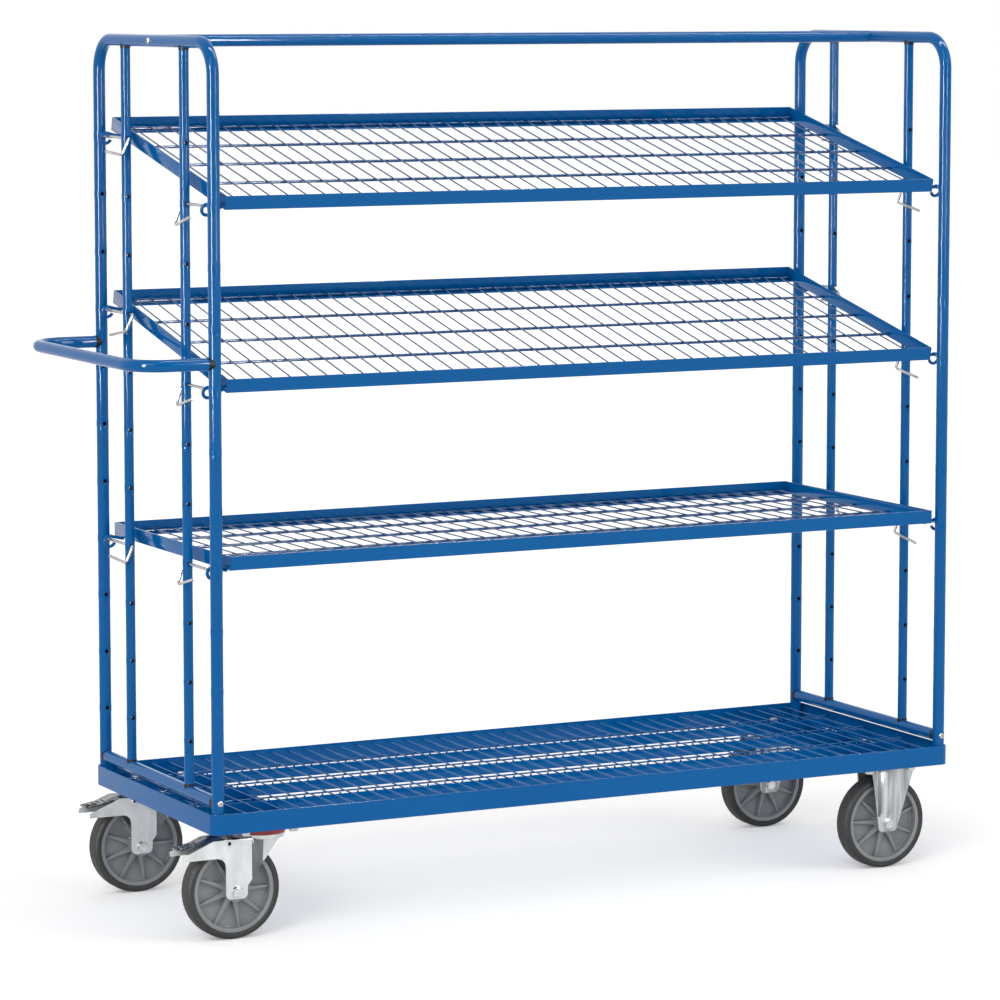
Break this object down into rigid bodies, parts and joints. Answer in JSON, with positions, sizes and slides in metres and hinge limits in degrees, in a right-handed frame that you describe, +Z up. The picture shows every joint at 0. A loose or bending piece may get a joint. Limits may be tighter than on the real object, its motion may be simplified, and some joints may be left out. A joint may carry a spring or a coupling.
{
  "type": "shelf trolley",
  "caption": "Long shelf trolley with tube end frames, mesh deck, tilting mesh shelves hung on wire pins, a push handle and braked swivel and fixed castors.",
  "frame": {"origin": "on the floor under the middle of the trolley's overall box, handle included", "axes": "+X along the trolley away from the push handle, +Z up, the tilted shelves' low front towards -Y"},
  "size_m": [1.8825, 0.631, 1.7996],
  "materials": {
    "blue_paint": "satin powder coat",
    "zinc": "bright zinc plate",
    "dark_steel": "dark plated",
    "black_plastic": "matt",
    "red_plastic": "satin",
    "grey_plastic": "satin",
    "grey_rubber": "matt"
  },
  "bodies": {
    "frame": {"base_rim": "blue_paint", "castor_channel_left": "blue_paint", "castor_channel_right": "blue_paint", "deck_bearer_1": "blue_paint", "deck_bearer_2": "blue_paint", "deck_bearer_3": "blue_paint", "deck_grid": "blue_paint", "end_hoop_left": "blue_paint", "end_hoop_right": "blue_paint", "cross_rail_left": "blue_paint", "cross_rail_right": "blue_paint", "top_rail": "blue_paint", "push_handle": "blue_paint", "inner_post_left_front": "blue_paint", "inner_post_left_rear": "blue_paint", "inner_post_right_front": "blue_paint", "inner_post_right_rear": "blue_paint", "handle_saddle_front": "black_plastic", "swivel_plate_front": "zinc", "swivel_seal_front": "red_plastic", "fixed_fork_front": "zinc", "fixed_axle_front": "zinc", "handle_saddle_rear": "black_plastic", "swivel_plate_rear": "zinc", "swivel_seal_rear": "red_plastic", "fixed_fork_rear": "zinc", "fixed_axle_rear": "zinc"},
    "swivel_front": {"swivel_fork_front": "zinc", "swivel_axle_front": "zinc"},
    "swivel_wheel_front": {"swivel_rim_front": "grey_plastic", "swivel_tyre_front": "grey_rubber"},
    "pedal_front": {"brake_pedal_front": "dark_steel"},
    "fixed_wheel_front": {"fixed_rim_front": "grey_plastic", "fixed_tyre_front": "grey_rubber"},
    "swivel_rear": {"swivel_fork_rear": "zinc", "swivel_axle_rear": "zinc"},
    "swivel_wheel_rear": {"swivel_rim_rear": "grey_plastic", "swivel_tyre_rear": "grey_rubber"},
    "pedal_rear": {"brake_pedal_rear": "dark_steel"},
    "fixed_wheel_rear": {"fixed_rim_rear": "grey_plastic", "fixed_tyre_rear": "grey_rubber"},
    "shelf_1": {"shelf_1_frame": "blue_paint", "shelf_1_grid": "blue_paint"},
    "pin_1_left_front": {"pin_1_left_front": "zinc"},
    "pin_1_left_rear": {"pin_1_left_rear": "zinc"},
    "pin_1_right_front": {"pin_1_right_front": "zinc"},
    "pin_1_right_rear": {"pin_1_right_rear": "zinc"},
    "shelf_2": {"shelf_2_frame": "blue_paint", "shelf_2_grid": "blue_paint"},
    "pin_2_left_front": {"pin_2_left_front": "zinc"},
    "pin_2_left_rear": {"pin_2_left_rear": "zinc"},
    "pin_2_right_front": {"pin_2_right_front": "zinc"},
    "pin_2_right_rear": {"pin_2_right_rear": "zinc"},
    "shelf_3": {"shelf_3_frame": "blue_paint", "shelf_3_grid": "blue_paint"},
    "pin_3_left_front": {"pin_3_left_front": "zinc"},
    "pin_3_left_rear": {"pin_3_left_rear": "zinc"},
    "pin_3_right_front": {"pin_3_right_front": "zinc"},
    "pin_3_right_rear": {"pin_3_right_rear": "zinc"}
  },
  "joints": [
    {"name": "castor_swivel_front", "type": "hinge", "parent": "frame", "child": "swivel_front", "pos_m": [-0.6525, -0.25, 0.205], "axis": [0, 0, 1], "continuous": true},
    {"name": "swivel_wheel_spin_front", "type": "hinge", "parent": "swivel_front", "child": "swivel_wheel_front", "pos_m": [-0.7215, -0.25, 0.1], "axis": [0, 1, 0], "continuous": true},
    {"name": "brake_press_front", "type": "hinge", "parent": "swivel_front", "child": "pedal_front", "pos_m": [-0.7385, -0.25, 0.199], "axis": [0, -1, 0], "range_deg": [0, 15]},
    {"name": "fixed_wheel_spin_front", "type": "hinge", "parent": "frame", "child": "fixed_wheel_front", "pos_m": [0.8075, -0.25, 0.1], "axis": [0, 1, 0], "continuous": true},
    {"name": "castor_swivel_rear", "type": "hinge", "parent": "frame", "child": "swivel_rear", "pos_m": [-0.6525, 0.25, 0.205], "axis": [0, 0, 1], "continuous": true},
    {"name": "swivel_wheel_spin_rear", "type": "hinge", "parent": "swivel_rear", "child": "swivel_wheel_rear", "pos_m": [-0.7215, 0.25, 0.1], "axis": [0, 1, 0], "continuous": true},
    {"name": "brake_press_rear", "type": "hinge", "parent": "swivel_rear", "child": "pedal_rear", "pos_m": [-0.7385, 0.25, 0.199], "axis": [0, -1, 0], "range_deg": [0, 15]},
    {"name": "fixed_wheel_spin_rear", "type": "hinge", "parent": "frame", "child": "fixed_wheel_rear", "pos_m": [0.8075, 0.25, 0.1], "axis": [0, 1, 0], "continuous": true},
    {"name": "shelf_1_play", "type": "hinge", "parent": "frame", "child": "shelf_1", "pos_m": [0.0775, 0.265, 1.588], "axis": [-1, 0, 0], "range_deg": [0, 0.8]},
    {"name": "pin_1_left_front_slide", "type": "slide", "parent": "frame", "child": "pin_1_left_front", "axis": [0, 1, 0], "range_m": [0, 0.1]},
    {"name": "pin_1_left_rear_slide", "type": "slide", "parent": "frame", "child": "pin_1_left_rear", "axis": [0, -1, 0], "range_m": [0, 0.1]},
    {"name": "pin_1_right_front_slide", "type": "slide", "parent": "frame", "child": "pin_1_right_front", "axis": [0, 1, 0], "range_m": [0, 0.1]},
    {"name": "pin_1_right_rear_slide", "type": "slide", "parent": "frame", "child": "pin_1_right_rear", "axis": [0, -1, 0], "range_m": [0, 0.1]},
    {"name": "shelf_2_play", "type": "hinge", "parent": "frame", "child": "shelf_2", "pos_m": [0.0775, 0.265, 1.228], "axis": [-1, 0, 0], "range_deg": [0, 0.8]},
    {"name": "pin_2_left_front_slide", "type": "slide", "parent": "frame", "child": "pin_2_left_front", "axis": [0, 1, 0], "range_m": [0, 0.1]},
    {"name": "pin_2_left_rear_slide", "type": "slide", "parent": "frame", "child": "pin_2_left_rear", "axis": [0, -1, 0], "range_m": [0, 0.1]},
    {"name": "pin_2_right_front_slide", "type": "slide", "parent": "frame", "child": "pin_2_right_front", "axis": [0, 1, 0], "range_m": [0, 0.1]},
    {"name": "pin_2_right_rear_slide", "type": "slide", "parent": "frame", "child": "pin_2_right_rear", "axis": [0, -1, 0], "range_m": [0, 0.1]},
    {"name": "shelf_3_play", "type": "hinge", "parent": "frame", "child": "shelf_3", "pos_m": [0.0775, 0.265, 0.748], "axis": [-1, 0, 0], "range_deg": [0, 0.8]},
    {"name": "pin_3_left_front_slide", "type": "slide", "parent": "frame", "child": "pin_3_left_front", "axis": [0, 1, 0], "range_m": [0, 0.1]},
    {"name": "pin_3_left_rear_slide", "type": "slide", "parent": "frame", "child": "pin_3_left_rear", "axis": [0, -1, 0], "range_m": [0, 0.1]},
    {"name": "pin_3_right_front_slide", "type": "slide", "parent": "frame", "child": "pin_3_right_front", "axis": [0, 1, 0], "range_m": [0, 0.1]},
    {"name": "pin_3_right_rear_slide", "type": "slide", "parent": "frame", "child": "pin_3_right_rear", "axis": [0, -1, 0], "range_m": [0, 0.1]}
  ]
}
